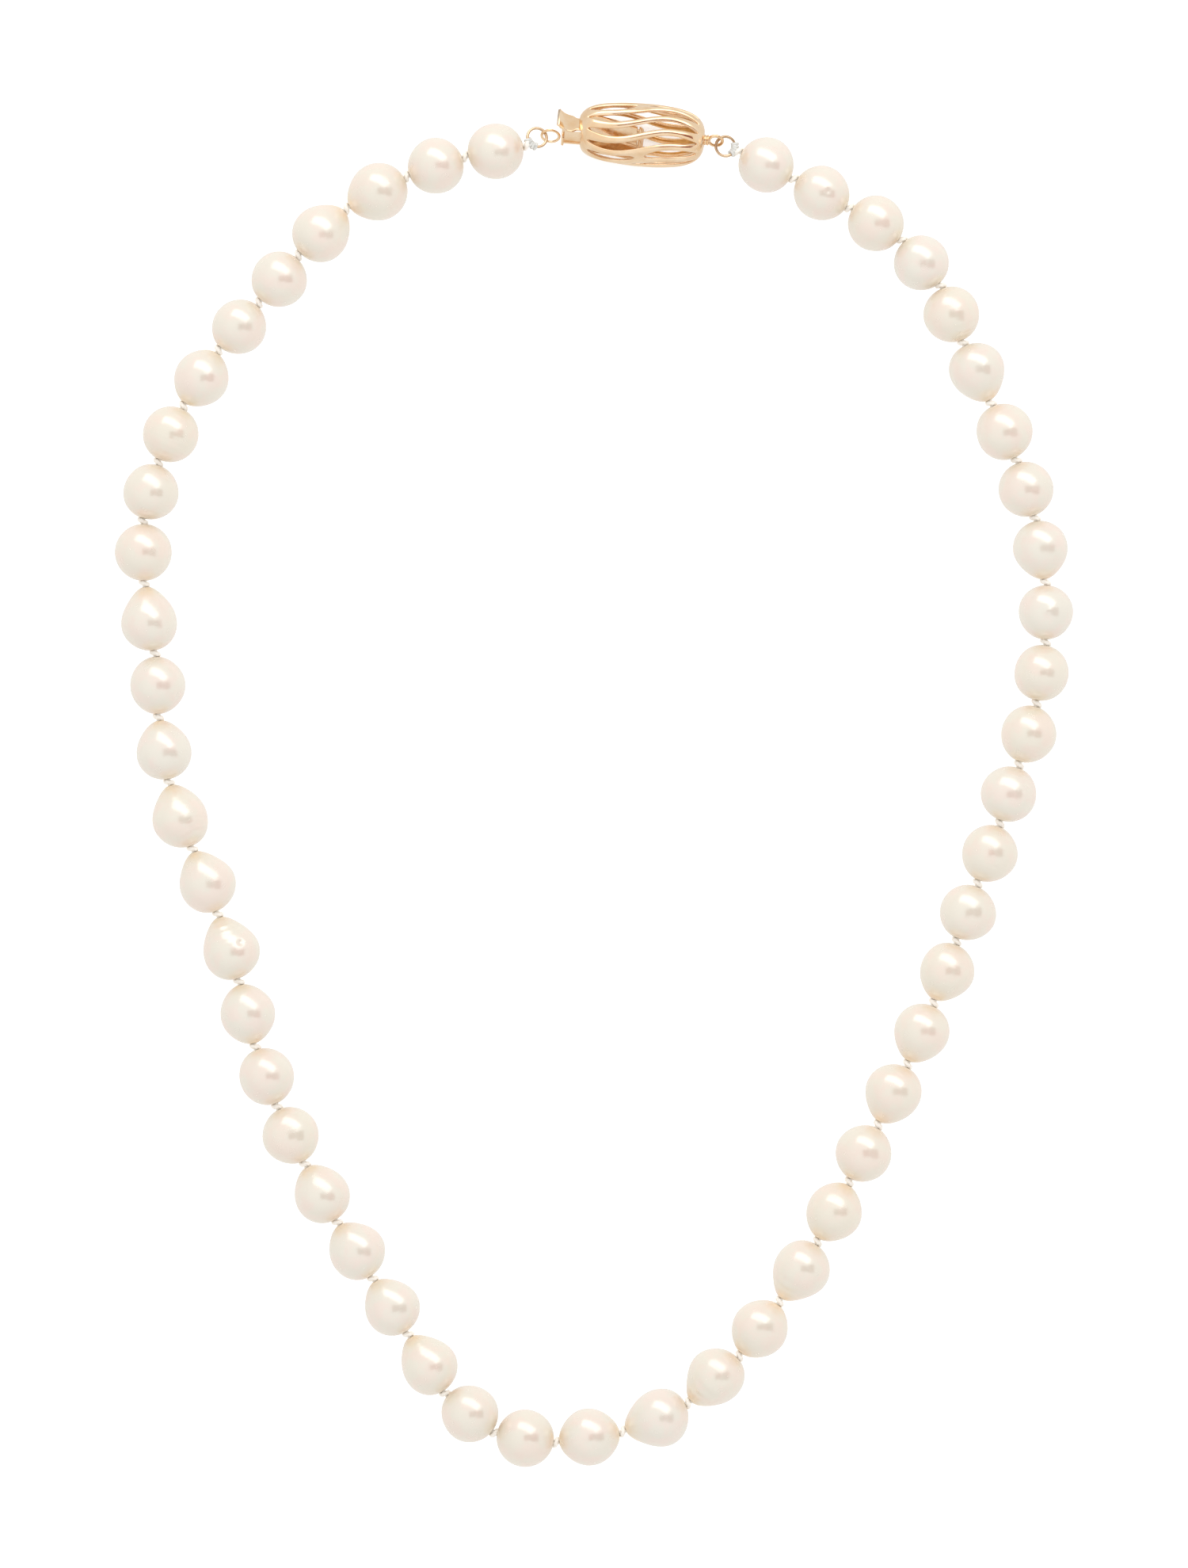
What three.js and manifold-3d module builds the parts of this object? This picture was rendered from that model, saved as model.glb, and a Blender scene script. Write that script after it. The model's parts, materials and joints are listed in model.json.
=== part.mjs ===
// A knotted strand of off-round cultured pearls, closed by an openwork gold box clasp.
// Millimetres, +Z up. The necklace lies flat in its closed loop on z = 0 with the clasp at +Y, and the
// origin is on that surface, at the centre of the necklace's bounding box.
import * as THREE from "three";
import { mergeVertices } from "three/addons/utils/BufferGeometryUtils.js";
import Module from "manifold-3d";

const wasm = await Module();
wasm.setup();
const { degToRad } = THREE.MathUtils;

// ---- Driving dimensions ----

// Pearls and thread
const MATCHED_DIAMETER = 7.0; // what the pearls are matched to
const HOLE_DIAMETER = 0.95; // drilled through each pearl
const TIP_WIDTH = 0.62; // radians from the hole over which a pulled tip fades into the round
const KNOT_GAP = 0.85; // between the faces of two neighbouring pearls
const THREAD_DIAMETER = 0.4;
const KNOT_DIAMETER = 1.1;
const KNOT_CLEARANCE = 0.13; // between a knot and each pearl beside it
const END_GAP = 0.95; // from an end pearl's face to the middle of the binding on its jump ring

// Clasp case: a barrel of superellipse outline, pierced by wavy slots
const CASE_LENGTH = 15.6;
const CASE_DIAMETER = 8.0;
const CASE_WALL = 0.65;
const CASE_POWER = 3; // of the superellipse
const SLOT_COUNT = 12;
const SLOT_WIDTH = 0.85;
const SLOT_WAVE = 12; // degrees that a slot swings to each side along its length
const SLOT_FIRST = -2; // degrees from the thumb tab's side to the first slot
const SLOT_START = -0.74; // shares of the half length
const SLOT_END = 0.86;
const SLOT_TIP = 0.55; // share of its width that a slot has at its two ends
const BRIDGED_SLOTS = [1, 6, 9]; // slots that a bridge splits at mid length
const BRIDGE_LENGTH = 1.2;
const MOUTH_CLEARANCE = 0.4; // round the tongue, on every side
const MOUTH_DEPTH = 3.4; // how far in the mouth keeps its own width, before the hollow is wider

// Tongue: a folded strip, with a thumb tab on its upper leaf
const LEAF_THICKNESS = 0.34;
const LEAF_WIDTH = 3.6;
const LEAF_REACH = 8.2; // from the case's end to the fold
const LOWER_SHOULDER_INSET = 0.3; // from the case's end wall to where the lower leaf widens
const UPPER_SHOULDER_INSET = 0.55; // from that wall to the upper leaf's shoulder, which catches behind it
const SHOULDER_LENGTH = 0.6;
const SHOULDER_DROP = 0.1; // of the upper leaf along that length
const LOWER_LEAF_HEIGHT = -1.5; // from the clasp's axis
const FOLD_RADIUS = 0.5; // to the middle of the strip
const SHOULDER_HEIGHT = 0.95;
const NECK_WIDTH = 2.0;
const TONGUE_STEM = 2.0; // from the case's end to the end plate
const END_PLATE_HEIGHT = 1.9;
const THUMB_WIDTH = 2.8;
const THUMB_START = 0.35; // from the case's end
const THUMB_LENGTH = 2.3;
const THUMB_RISE = 1.1;
const SPRING_GAP = 0.2; // at the fold, between the two leaves' strips
const STRIP_LAP = 0.3; // by which two strips of one piece run into each other
const FOLD_ANGLES = [-60, -30, 0, 30, 60, 90]; // degrees round the fold, from the lower leaf to the upper

// Rings
const COLLAR_DIAMETER = 1.4;
const COLLAR_LENGTH = 0.7;
const FITTING_GAP = 0.12; // at a soldered joint between two pieces
const TONGUE_RING_DIAMETER = 2.2; // to the middle of the wire
const TONGUE_RING_WIRE = 0.36;
const CASE_RING_DIAMETER = 1.7;
const CASE_RING_WIRE = 0.42;
const JUMP_RING_DIAMETER = 2.45;
const JUMP_RING_WIRE = 0.38;
const HOOK_CLEARANCE = 0.25; // between two hooked rings' wires
const LEFT_RING_SWING = -12; // degrees: bearing of a jump ring's centre from its clasp ring's, outwards
const RIGHT_RING_SWING = -24;
const LEFT_BINDING_BEARING = -52; // degrees: bearing of a binding from its jump ring's centre, outwards
const RIGHT_BINDING_BEARING = -14;
const RING_LEAN = 50; // degrees that the clasp's own rings lean out of the lying plane
const BINDING_DIAMETER = 1.05;
const BINDING_BORE = 0.62; // round the jump ring's wire
const BINDING_LENGTH = 1.9;

// How the clasp lies in the loop
const CLASP_ROLL = 40; // degrees about its own axis, thumb tab towards the outside of the loop

// The pearls in order from the tongue's side round to the case's side: shape, and how far the diameter
// departs from the matched one. A shape is the length of the tip pulled out at its first and last hole.
const SHAPES = {
  round: [0, 0],
  egg: [0.15, 0.15],
  drop: [0.65, 0],
  pear: [1.1, 0],
  turned: [0, 0.65],
  spindle: [0.4, 0.4],
};
const STRAND = [
  ["round", 0.1], ["round", 0], ["turned", 0.2], ["drop", 0.1], ["round", 0],
  ["egg", -0.2], ["spindle", -0.2], ["round", 0], ["round", -0.1], ["round", 0.1],
  ["pear", 0.1], ["egg", 0], ["drop", -0.1], ["pear", 0.1], ["pear", 0],
  ["pear", 0.1], ["spindle", -0.1], ["egg", 0], ["egg", 0], ["drop", 0],
  ["drop", 0], ["drop", -0.1], ["pear", 0], ["egg", 0], ["round", 0.1],
  ["spindle", 0], ["pear", 0.2], ["pear", 0], ["spindle", 0], ["pear", 0.1],
  ["spindle", 0], ["egg", 0], ["drop", 0.1], ["drop", 0], ["drop", -0.1],
  ["round", 0], ["egg", 0], ["round", 0], ["egg", 0], ["round", 0],
  ["round", -0.2], ["drop", -0.2], ["round", -0.1], ["round", 0.1], ["drop", 0],
  ["round", 0], ["round", -0.2], ["round", 0], ["egg", -0.1], ["round", 0],
];

// The line that the thread lies along, chosen by hand: from the tongue's jump ring down the left side,
// through the bottom of the loop, up the right side to the case's jump ring, and across the clasp.
// It is a shape only: the strand scales it until its own length and the clasp close the loop.
const LOOP = [
  [-7.9, 80.5], [-12.2, 80], [-19.3, 78], [-26.8, 75], [-34, 70.2], [-39, 64],
  [-49, 52], [-55.5, 38], [-56.8, 30], [-55.6, 21.5], [-54.5, 13.5], [-54.4, 5],
  [-52, -3], [-45.6, -20], [-41.3, -36], [-34, -51.2], [-25, -65.6],
  [-15.8, -79.2], [-8.2, -82], [0, -81.6], [8.7, -79], [15.6, -74.3],
  [26, -60.4], [34, -45.6], [41.3, -30.4], [46.9, -15.4], [52.3, -0.4],
  [56.4, 15], [56.2, 30], [51.4, 45], [47.4, 52.4], [45, 59.6], [41.4, 66.4],
  [35.2, 70.8], [21.9, 77.8], [17.2, 80], [4.6, 81],
];

// ---- Helpers ----

function solidOf(geometry) {
  const bare = geometry.clone();
  bare.deleteAttribute("normal");
  bare.deleteAttribute("uv");
  const merged = mergeVertices(bare, 1e-4);
  return new wasm.Manifold(
    new wasm.Mesh({
      numProp: 3,
      vertProperties: merged.attributes.position.array,
      triVerts: new Uint32Array(merged.index.array),
    }),
  );
}

function geometryOf(solid) {
  const { vertProperties, triVerts } = solid.getMesh();
  const geometry = new THREE.BufferGeometry();
  geometry.setAttribute("position", new THREE.BufferAttribute(vertProperties, 3));
  geometry.setIndex(new THREE.BufferAttribute(triVerts, 1));
  const flat = geometry.toNonIndexed();
  flat.computeVertexNormals();
  return flat;
}

// A solid of revolution about X: its half outline gives [place along X, radius], in order of X, and
// closes on itself or on the axis.
function turned(outline, segments) {
  const points = outline.map(([along, radius]) => new THREE.Vector2(radius, along));
  return new THREE.LatheGeometry(points, segments).rotateZ(-Math.PI / 2);
}

// A bent strip of one width: its side view's middle line gives [x, z], and it is centred on y = 0.
function strip(line, width) {
  const sides = [1, -1].map((side) =>
    line.map(([x, z], i) => {
      const [ax, az] = line[Math.max(i - 1, 0)];
      const [bx, bz] = line[Math.min(i + 1, line.length - 1)];
      const run = Math.hypot(bx - ax, bz - az);
      const half = (side * LEAF_THICKNESS) / 2;
      return new THREE.Vector2(x - ((bz - az) / run) * half, z + ((bx - ax) / run) * half);
    }),
  );
  const outline = new THREE.Shape([...sides[0], ...sides[1].reverse()]);
  return new THREE.ExtrudeGeometry(outline, { depth: width, bevelEnabled: false })
    .translate(0, 0, -width / 2)
    .rotateX(Math.PI / 2);
}

// A piece of tube round an arc in the XY plane, centred on the arc's own centre, with its middle on +X.
function arcSleeve(arcRadius, length, outerRadius, innerRadius) {
  const half = length / arcRadius / 2;
  const stations = [-1, -0.5, 0, 0.5, 1].map((share) => {
    const angle = share * half;
    return new THREE.Vector3(arcRadius * Math.cos(angle), arcRadius * Math.sin(angle), 0);
  });
  const section = new THREE.Shape().absarc(0, 0, outerRadius, 0, 2 * Math.PI);
  section.holes.push(new THREE.Path().absarc(0, 0, innerRadius, 0, 2 * Math.PI));
  return new THREE.ExtrudeGeometry(section, {
    extrudePath: new THREE.CatmullRomCurve3(stations),
    steps: 4,
    curveSegments: 5,
    bevelEnabled: false,
  });
}

const gold = new THREE.MeshStandardMaterial({ color: 0xe6bf83, roughness: 0.22, metalness: 1 });
const nacre = new THREE.MeshStandardMaterial({ color: 0xf3e6d8, roughness: 0.28, metalness: 0 });
const silk = new THREE.MeshStandardMaterial({ color: 0xe6e2da, roughness: 0.85, metalness: 0 });

const necklace = new THREE.Group();

function addPiece(parent, name, geometry, material) {
  const mesh = new THREE.Mesh(geometry, material);
  mesh.name = name;
  parent.add(mesh);
  return mesh;
}

// ---- Pearls: how long each one is between its two faces ----

const holeRadius = HOLE_DIAMETER / 2;

// Half the length of a pearl's hole on the side whose pulled tip has this length.
function faceReach(radius, tip) {
  const edge = Math.asin(holeRadius / radius);
  return radius * Math.cos(edge) + tip * Math.exp(-((edge / TIP_WIDTH) ** 2));
}

const pearls = STRAND.map(([shape, oversize], index) => {
  const radius = (MATCHED_DIAMETER + oversize) / 2;
  const tips = SHAPES[shape];
  const [before, after] = tips.map((tip) => faceReach(radius, tip));
  const first = index === 0 ? END_GAP : KNOT_GAP / 2;
  const last = index === STRAND.length - 1 ? END_GAP : KNOT_GAP / 2;
  return { radius, tips, before, after, first, last, span: first + before + after + last };
});
const axisHeight = Math.max(...pearls.map((pearl) => pearl.radius));

// ---- Clasp layout, in its own frame: origin at the case's centre, X along its axis towards the case
// ring. Everything between the two bindings gives the width of the gap that the strand has to leave. ----

const caseHalf = CASE_LENGTH / 2;
const caseHeight = CASE_DIAMETER / 2;
const roll = degToRad(CLASP_ROLL);
const lowerLeafPlace = [LOWER_LEAF_HEIGHT * Math.sin(roll), LOWER_LEAF_HEIGHT * Math.cos(roll)];
const endPlateX = -caseHalf - TONGUE_STEM;
const tongueRingReach = (TONGUE_RING_WIRE + TONGUE_RING_DIAMETER) / 2;
const tongueRingX = endPlateX - LEAF_THICKNESS / 2 - FITTING_GAP - tongueRingReach;
const caseRingX = caseHalf + FITTING_GAP + COLLAR_LENGTH + CASE_RING_DIAMETER / 2;
const jumpRadius = JUMP_RING_DIAMETER / 2;

// Each jump ring hooks its clasp ring: the two wires cross where each is inside the other.
function hookedRing(name, claspRing, height, side, swing, bearing) {
  const overlap = (claspRing.wire + JUMP_RING_WIRE) / 2 + HOOK_CLEARANCE;
  const reach = claspRing.diameter / 2 + jumpRadius - overlap;
  const towards = degToRad(swing);
  const centre = [
    claspRing.x + side * reach * Math.cos(towards),
    claspRing.y + reach * Math.sin(towards),
  ];
  const out = degToRad(bearing);
  const binding = [
    centre[0] + side * jumpRadius * Math.cos(out),
    centre[1] + jumpRadius * Math.sin(out),
  ];
  return { name, centre, binding, height, side, out };
}

const tongueRingHeight = caseHeight + lowerLeafPlace[1];
const leftRing = hookedRing(
  "left",
  { x: tongueRingX, y: lowerLeafPlace[0], diameter: TONGUE_RING_DIAMETER, wire: TONGUE_RING_WIRE },
  (axisHeight + tongueRingHeight) / 2, -1, LEFT_RING_SWING, LEFT_BINDING_BEARING,
);
const rightRing = hookedRing(
  "right",
  { x: caseRingX, y: 0, diameter: CASE_RING_DIAMETER, wire: CASE_RING_WIRE },
  (axisHeight + caseHeight) / 2, 1, RIGHT_RING_SWING, RIGHT_BINDING_BEARING,
);

const claspSpan = Math.hypot(
  rightRing.binding[0] - leftRing.binding[0],
  rightRing.binding[1] - leftRing.binding[1],
);
const claspBearing = Math.atan2(
  rightRing.binding[1] - leftRing.binding[1],
  rightRing.binding[0] - leftRing.binding[0],
);

// ---- Loop: walk the pearls along it knot by knot, at the scale where the clasp just fits the gap ----

const loopPoints = LOOP.map(([x, y]) => new THREE.Vector3(x, y, 0));
const loop = new THREE.CatmullRomCurve3(loopPoints, true, "centripetal");

function walkStrand(scale) {
  const knots = [loop.getPoint(0).multiplyScalar(scale)];
  let along = 0;
  for (const { span } of pearls) {
    const start = knots[knots.length - 1];
    const distance = (t) => loop.getPoint(t).multiplyScalar(scale).distanceTo(start);
    let near = along;
    let far = along + 0.005;
    while (distance(far) < span) far += 0.005;
    for (let halving = 0; halving < 40; halving++) {
      const middle = (near + far) / 2;
      if (distance(middle) < span) near = middle;
      else far = middle;
    }
    along = far;
    knots.push(loop.getPoint(along).multiplyScalar(scale));
  }
  const gap = knots[0].distanceTo(knots[knots.length - 1]);
  return { knots, gap: along < 1 ? gap : -gap };
}

let [tight, slack] = [0.5, 2];
for (let halving = 0; halving < 40; halving++) {
  const scale = (tight + slack) / 2;
  if (walkStrand(scale).gap < claspSpan) tight = scale;
  else slack = scale;
}
const { knots } = walkStrand(slack);
for (const knot of knots) knot.z = axisHeight;

// ---- Pearls ----

const PEARL_SEGMENTS = 10;
const PEARL_ANGLES = [34, 62, 90, 118, 146]; // degrees from the first hole, between its two edges

function pearlGeometry({ radius, tips }) {
  const edge = Math.asin(holeRadius / radius);
  const outline = [edge, ...PEARL_ANGLES.map(degToRad), Math.PI - edge].map((angle) => {
    const first = tips[0] * Math.exp(-((angle / TIP_WIDTH) ** 2));
    const last = tips[1] * Math.exp(-(((Math.PI - angle) / TIP_WIDTH) ** 2));
    return [last - first - radius * Math.cos(angle), radius * Math.sin(angle)];
  });
  return turned([...outline, outline[0]], PEARL_SEGMENTS);
}

pearls.forEach((pearl, index) => {
  const [from, to] = [knots[index], knots[index + 1]];
  const direction = to.clone().sub(from).normalize();
  const number = String(index + 1).padStart(2, "0");
  const mesh = addPiece(necklace, `pearl_${number}`, pearlGeometry(pearl), nacre);
  mesh.position.copy(from).addScaledVector(direction, pearl.first + pearl.before);
  mesh.rotation.z = Math.atan2(direction.y, direction.x);
});

// ---- Silk thread: one line of thread with a knot between each two pearls, turned straight and then
// laid along the knots ----

const THREAD_SIDES = 6;

function threadGeometry() {
  const threadRadius = THREAD_DIAMETER / 2;
  const knotHalf = KNOT_GAP / 2 - KNOT_CLEARANCE;
  const endInset = BINDING_DIAMETER / 2 + FITTING_GAP;
  const stations = [0];
  for (const { span } of pearls) stations.push(stations[stations.length - 1] + span);
  const total = stations[stations.length - 1];
  const outline = [[endInset, 0], [endInset, threadRadius]];
  for (const place of stations.slice(1, -1)) {
    outline.push(
      [place - knotHalf, threadRadius],
      [place - knotHalf / 2, KNOT_DIAMETER / 2],
      [place + knotHalf / 2, KNOT_DIAMETER / 2],
      [place + knotHalf, threadRadius],
    );
  }
  outline.push([total - endInset, threadRadius], [total - endInset, 0]);
  const geometry = turned(outline, THREAD_SIDES);
  const position = geometry.attributes.position;
  const point = new THREE.Vector3();
  const up = new THREE.Vector3(0, 0, 1);
  for (let i = 0; i < position.count; i++) {
    point.fromBufferAttribute(position, i);
    let link = 0;
    while (link < pearls.length - 1 && point.x > stations[link + 1]) link++;
    const direction = knots[link + 1].clone().sub(knots[link]).normalize();
    const across = up.clone().cross(direction);
    const laid = knots[link].clone().addScaledVector(direction, point.x - stations[link]);
    laid.addScaledVector(across, point.y).addScaledVector(up, point.z);
    position.setXYZ(i, laid.x, laid.y, laid.z);
  }
  geometry.computeVertexNormals();
  return geometry;
}

addPiece(necklace, "silk_thread", threadGeometry(), silk);

// ---- Clasp ----

const clasp = new THREE.Group();
const chord = knots[knots.length - 1].clone().sub(knots[0]);
clasp.rotation.z = Math.atan2(chord.y, chord.x) - claspBearing;
const bindingOffset = new THREE.Vector3(leftRing.binding[0], leftRing.binding[1], 0);
clasp.position.copy(knots[0]).sub(bindingOffset.applyEuler(clasp.rotation)).setZ(0);
necklace.add(clasp);

// The case and the tongue share the clasp's axis and its roll.
const barrel = new THREE.Group();
barrel.position.z = caseHeight;
barrel.rotation.x = -roll;
clasp.add(barrel);

const CASE_SEGMENTS = 24;
const SLOT_STEPS = 4; // along half the case
const BARREL_ANGLES = [0, 12, 26, 45, 66, 90, 114, 135, 154, 168, 180];

function barrelSolid(halfLength, radius) {
  const power = 2 / CASE_POWER;
  const outline = BARREL_ANGLES.map(degToRad).map((angle) => {
    const run = Math.cos(angle);
    const rise = angle === 0 || angle === Math.PI ? 0 : Math.sin(angle) ** power;
    return [-halfLength * Math.sign(run) * Math.abs(run) ** power, radius * rise];
  });
  return solidOf(turned(outline, CASE_SEGMENTS));
}

// A wavy slot between two shares of the half length: drawn flat, pulled through the wall's depth and
// then wrapped round the barrel. The wave is a full sine, low towards the tongue.
function slotSolid(angle, start, end) {
  const steps = Math.max(2, Math.round((end - start) * SLOT_STEPS));
  const edges = [1, -1].map((side) =>
    Array.from({ length: steps + 1 }, (_, i) => {
      const share = start + ((end - start) * i) / steps;
      const wave = degToRad(SLOT_WAVE) * caseHeight * Math.sin(Math.PI * share);
      const taper = i === 0 || i === steps ? SLOT_TIP : 1;
      return new THREE.Vector2(share * caseHalf, wave - (side * taper * SLOT_WIDTH) / 2);
    }),
  );
  const outline = new THREE.Shape([...edges[0], ...edges[1].reverse()]);
  const bottom = caseHeight / 2;
  const geometry = new THREE.ExtrudeGeometry(outline, { depth: caseHeight, bevelEnabled: false });
  const position = geometry.attributes.position;
  for (let i = 0; i < position.count; i++) {
    const around = degToRad(angle) + position.getY(i) / caseHeight;
    const radius = bottom + position.getZ(i);
    position.setXYZ(i, position.getX(i), radius * Math.sin(around), radius * Math.cos(around));
  }
  return solidOf(geometry);
}

function mouthSolid() {
  const low = LOWER_LEAF_HEIGHT - LEAF_THICKNESS / 2 - MOUTH_CLEARANCE;
  const high = SHOULDER_HEIGHT + LEAF_THICKNESS / 2 + MOUTH_CLEARANCE;
  const width = LEAF_WIDTH + 2 * MOUTH_CLEARANCE;
  const depth = 2 * MOUTH_DEPTH;
  const box = new THREE.BoxGeometry(depth, width, high - low);
  return solidOf(box.translate(-caseHalf, 0, (low + high) / 2));
}

function caseGeometry() {
  let pierced = barrelSolid(caseHalf, caseHeight)
    .subtract(barrelSolid(caseHalf - CASE_WALL, caseHeight - CASE_WALL))
    .subtract(mouthSolid());
  const bridge = BRIDGE_LENGTH / caseHalf / 2;
  for (let i = 0; i < SLOT_COUNT; i++) {
    const angle = SLOT_FIRST + (360 / SLOT_COUNT) * i;
    const stretches = BRIDGED_SLOTS.includes(i)
      ? [[SLOT_START, -bridge], [bridge, SLOT_END]]
      : [[SLOT_START, SLOT_END]];
    for (const [start, end] of stretches) pierced = pierced.subtract(slotSolid(angle, start, end));
  }
  return geometryOf(pierced);
}

addPiece(barrel, "clasp_case", caseGeometry(), gold);

// Tongue, lower leaf: from the end plate through the mouth to the fold and round it.
const foldX = -caseHalf + LEAF_REACH - FOLD_RADIUS - LEAF_THICKNESS / 2;
const foldZ = LOWER_LEAF_HEIGHT + FOLD_RADIUS;
const neckEnd = -caseHalf + CASE_WALL + LOWER_SHOULDER_INSET;
const foldArc = FOLD_ANGLES.map((degrees) => {
  const angle = degToRad(degrees);
  return [foldX + FOLD_RADIUS * Math.cos(angle), foldZ + FOLD_RADIUS * Math.sin(angle)];
});
const lowerLeaf = strip(
  [[neckEnd, LOWER_LEAF_HEIGHT], [foldX, LOWER_LEAF_HEIGHT], ...foldArc], LEAF_WIDTH,
);
const lowerNeck = strip(
  [[endPlateX, LOWER_LEAF_HEIGHT], [neckEnd + STRIP_LAP, LOWER_LEAF_HEIGHT]], NECK_WIDTH,
);
const endPlate = new THREE.BoxGeometry(LEAF_THICKNESS, NECK_WIDTH, END_PLATE_HEIGHT);
endPlate.translate(endPlateX, 0, LOWER_LEAF_HEIGHT);
addPiece(
  barrel, "tongue_plate",
  geometryOf(solidOf(lowerLeaf).add(solidOf(lowerNeck)).add(solidOf(endPlate))), gold,
);

// Tongue, upper leaf: from the fold up to its shoulder, out through the mouth and up into the thumb tab.
const springStart = [foldX - SPRING_GAP, foldZ + FOLD_RADIUS];
const shoulderX = -caseHalf + CASE_WALL + UPPER_SHOULDER_INSET;
const thumbX = -caseHalf - THUMB_START;
const shoulderRamp = [shoulderX + SHOULDER_LENGTH, SHOULDER_HEIGHT - SHOULDER_DROP];
const upperLeaf = strip([springStart, shoulderRamp, [shoulderX, SHOULDER_HEIGHT]], LEAF_WIDTH);
const upperNeck = strip(
  [[shoulderX + STRIP_LAP, SHOULDER_HEIGHT], [thumbX - STRIP_LAP, SHOULDER_HEIGHT]], NECK_WIDTH,
);
const thumbLine = [0, 0.3, 0.6, 0.85, 1].map((share) => [
  thumbX - THUMB_LENGTH * share,
  SHOULDER_HEIGHT + THUMB_RISE * share ** 3,
]);
addPiece(
  barrel, "spring_leaf",
  geometryOf(solidOf(upperLeaf).add(solidOf(upperNeck)).add(solidOf(strip(thumbLine, THUMB_WIDTH)))), gold,
);

// The clasp's own rings lean out of the lying plane, so that a flat jump ring can hook each of them.
const RING_SIDES = 6;
const RING_SEGMENTS = 16;
const COLLAR_SIDES = 12;

function ringGeometry(diameter, wire) {
  return new THREE.TorusGeometry(diameter / 2, wire / 2, RING_SIDES, RING_SEGMENTS);
}

const tongueRing = addPiece(
  clasp, "tongue_ring", ringGeometry(TONGUE_RING_DIAMETER, TONGUE_RING_WIRE), gold,
);
tongueRing.position.set(tongueRingX, lowerLeafPlace[0], tongueRingHeight);
tongueRing.rotation.x = degToRad(RING_LEAN);

const collarX = caseHalf + FITTING_GAP + COLLAR_LENGTH / 2;
const collarRadius = COLLAR_DIAMETER / 2;
const collar = new THREE.CylinderGeometry(collarRadius, collarRadius, COLLAR_LENGTH, COLLAR_SIDES);
collar.rotateZ(Math.PI / 2).translate(collarX - caseRingX, 0, 0);
const caseRing = addPiece(
  clasp, "case_ring",
  geometryOf(solidOf(ringGeometry(CASE_RING_DIAMETER, CASE_RING_WIRE)).add(solidOf(collar))), gold,
);
caseRing.position.set(caseRingX, 0, caseHeight);
caseRing.rotation.x = degToRad(RING_LEAN);

// Jump rings with the thread's bindings: each leans from its clasp ring to the strand's height.
for (const ring of [leftRing, rightRing]) {
  const group = new THREE.Group();
  group.position.set(ring.centre[0], ring.centre[1], ring.height);
  group.rotation.z = ring.side > 0 ? ring.out : Math.PI - ring.out;
  clasp.add(group);
  const leaning = new THREE.Group();
  leaning.rotation.y = -Math.asin((axisHeight - ring.height) / jumpRadius);
  group.add(leaning);
  addPiece(leaning, `jump_ring_${ring.name}`, ringGeometry(JUMP_RING_DIAMETER, JUMP_RING_WIRE), gold);
  addPiece(
    leaning, `end_binding_${ring.name}`,
    arcSleeve(jumpRadius, BINDING_LENGTH, BINDING_DIAMETER / 2, BINDING_BORE / 2), silk,
  );
}

// ---- Origin: on the surface, at the centre of the bounding box ----

necklace.updateMatrixWorld(true);
const bounds = new THREE.Box3().setFromObject(necklace, true);
const centre = bounds.getCenter(new THREE.Vector3());
necklace.position.set(-centre.x, -centre.y, -bounds.min.z);

export default necklace;
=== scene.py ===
"""A knotted strand of off-round pearls with an openwork gold box clasp, made around its frame."""

import json
import math

import bmesh
import bpy
import numpy as np
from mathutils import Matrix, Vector


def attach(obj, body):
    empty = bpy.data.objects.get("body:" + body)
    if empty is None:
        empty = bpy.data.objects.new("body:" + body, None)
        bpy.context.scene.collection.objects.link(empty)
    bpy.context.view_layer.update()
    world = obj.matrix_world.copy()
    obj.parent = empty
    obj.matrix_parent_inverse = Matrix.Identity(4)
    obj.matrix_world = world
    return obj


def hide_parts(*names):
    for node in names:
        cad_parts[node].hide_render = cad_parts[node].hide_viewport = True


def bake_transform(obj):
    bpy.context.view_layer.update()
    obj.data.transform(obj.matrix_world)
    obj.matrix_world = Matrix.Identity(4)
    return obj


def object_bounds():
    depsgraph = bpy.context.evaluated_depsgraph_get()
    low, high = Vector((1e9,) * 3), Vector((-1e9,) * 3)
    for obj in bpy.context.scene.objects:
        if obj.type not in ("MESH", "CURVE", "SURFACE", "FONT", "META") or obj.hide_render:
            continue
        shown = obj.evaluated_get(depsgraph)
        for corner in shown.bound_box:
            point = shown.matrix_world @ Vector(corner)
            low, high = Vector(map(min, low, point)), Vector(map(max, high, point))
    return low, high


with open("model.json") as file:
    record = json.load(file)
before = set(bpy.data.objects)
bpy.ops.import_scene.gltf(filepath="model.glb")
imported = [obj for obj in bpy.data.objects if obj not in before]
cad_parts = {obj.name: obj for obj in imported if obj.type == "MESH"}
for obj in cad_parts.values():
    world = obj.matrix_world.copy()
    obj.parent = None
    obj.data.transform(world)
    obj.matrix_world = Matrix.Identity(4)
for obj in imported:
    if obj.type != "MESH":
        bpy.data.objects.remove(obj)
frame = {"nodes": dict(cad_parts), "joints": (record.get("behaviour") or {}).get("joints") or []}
cad_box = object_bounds()

MM = 0.001
PEARL_COUNT = 50
UP = np.array([0.0, 0.0, 1.0])

# ---- Sizes in millimetres, those that the frame doesn't give ----

HOLE_RADIUS = 0.4
HOLE_WALL = (0.85, 0.8, 0.8, 0.8, 0.85)  # shares of that radius, from one mouth to the other
PEARL_ROWS = 72
PEARL_COLUMNS = 88
PEARL_SEED = 7300
TIP_WIDTH = 0.62  # radians from the hole over which a pulled tip fades into the round
GLOW_WIDTH = 0.5  # radians from the hole over which the painted warm glow fades
PULLED_TIP = 0.3  # a tip longer than this has the painted warm glow in full
ROUND_GLOW = 0.55  # how much of it a shorter one has
# The slow waves round a pearl: how many folds, their usual size and how fast they turn with length.
PEARL_WAVES = ((2, 0.011, 1), (3, 0.008, 1.5), (5, 0.004, 2))

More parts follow.
